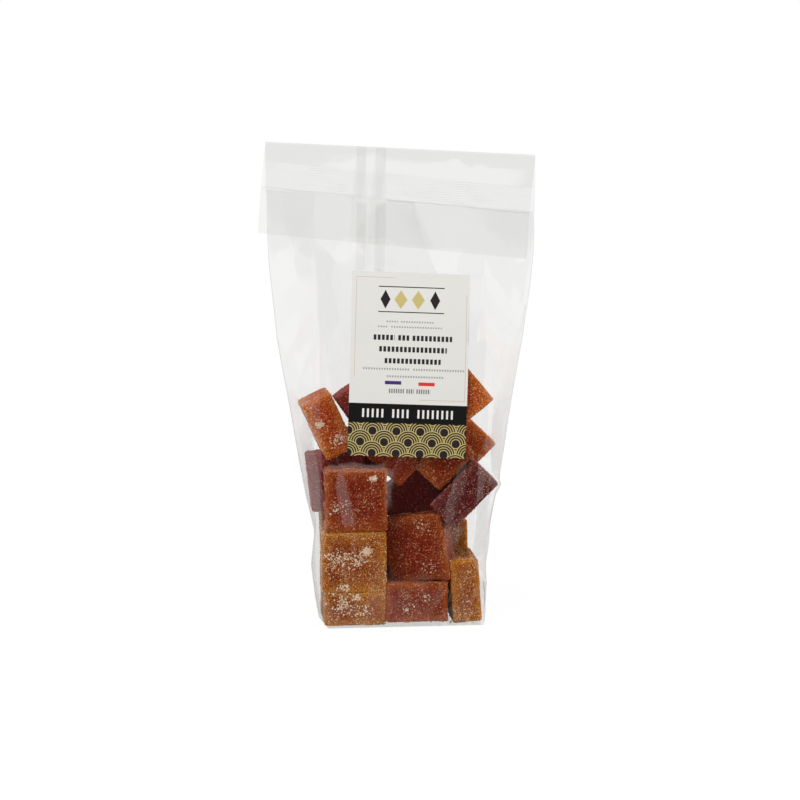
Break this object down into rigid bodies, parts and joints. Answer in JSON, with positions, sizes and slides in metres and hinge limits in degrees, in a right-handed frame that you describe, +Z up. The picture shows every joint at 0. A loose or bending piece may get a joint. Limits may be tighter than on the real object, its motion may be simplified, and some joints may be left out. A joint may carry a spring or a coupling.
{
  "type": "bag of fruit jelly squares",
  "caption": "Clear block-bottom film bag standing upright, filled with sugared fruit jelly squares, folded over and heat-sealed at the top, with a paper label on the front.",
  "frame": {"origin": "middle of the flat base, on the surface the bag stands on", "axes": "+Z up through the bag, the label and the folded flap face -Y, +X to the right of the label"},
  "size_m": [0.1298, 0.0515, 0.2223],
  "materials": {
    "clear_film": "glossy clear film over orange and red sweets",
    "label_paper": "smooth coated paper"
  },
  "bodies": {
    "root": {"bag": "clear_film", "label": "label_paper"}
  },
  "joints": []
}
